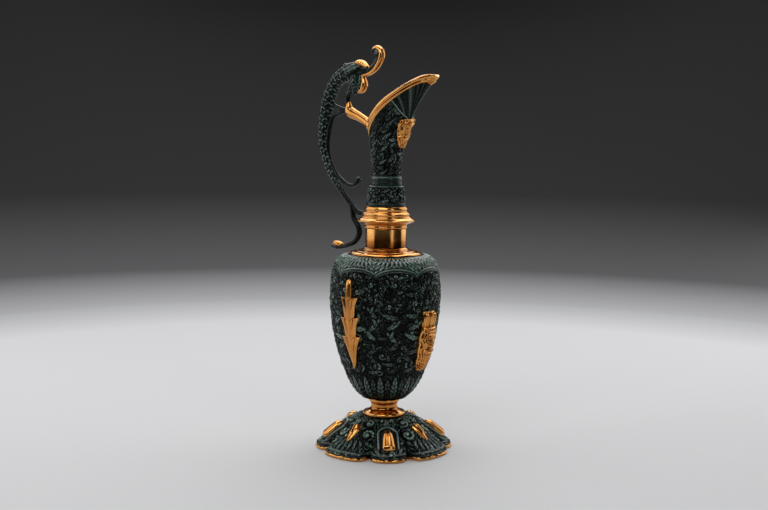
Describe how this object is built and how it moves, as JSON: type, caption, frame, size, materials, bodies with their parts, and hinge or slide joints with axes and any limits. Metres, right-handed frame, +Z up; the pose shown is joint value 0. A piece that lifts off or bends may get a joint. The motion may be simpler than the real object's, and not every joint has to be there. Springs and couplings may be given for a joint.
{
  "type": "ewer",
  "caption": "Footed bronze ewer with a lobed foot, tall ovoid body, slender neck with a rising spout, and a scrolled beast handle, in dark green patina with gilt mounts.",
  "frame": {"origin": "on the floor, under the middle of the whole outline from the handle's back to the foot's front", "axes": "+Z up; +X the way the spout points; -X the handle; Y across, the plane Y = 0 is the plane of symmetry"},
  "size_m": [0.1648, 0.14, 0.4041],
  "materials": {
    "patina": "cast bronze with a near-black green patina, rubbed grey-green on the raised relief, semi-gloss",
    "gilt": "polished gilt bronze, darker in the chased recesses",
    "steel": "plain zinc-grey fasteners, out of sight",
    "fibre": "pressed fibre washer, matt"
  },
  "bodies": {
    "root": {"foot": "patina", "body": "patina", "neck": "patina", "handle": "patina", "body_leaf_right": "gilt", "body_leaf_left": "gilt", "body_mask_front": "gilt", "body_mask_back": "gilt", "foot_bud_1": "gilt", "foot_bud_2": "gilt", "foot_bud_3": "gilt", "foot_bud_4": "gilt", "foot_drop_1": "gilt", "foot_drop_2": "gilt", "foot_drop_3": "gilt", "foot_drop_4": "gilt", "spout_mask": "gilt", "foot_band": "gilt", "stem": "gilt", "sleeve": "gilt", "lock_ring": "gilt", "collar": "gilt", "lip_band": "gilt", "handle_knob": "gilt", "handle_arm": "gilt", "arm_dowel": "steel", "tie_rod": "steel", "base_washer": "steel", "base_nut": "steel", "body_washer": "steel", "body_nut": "steel", "body_seal": "fibre"}
  },
  "joints": []
}
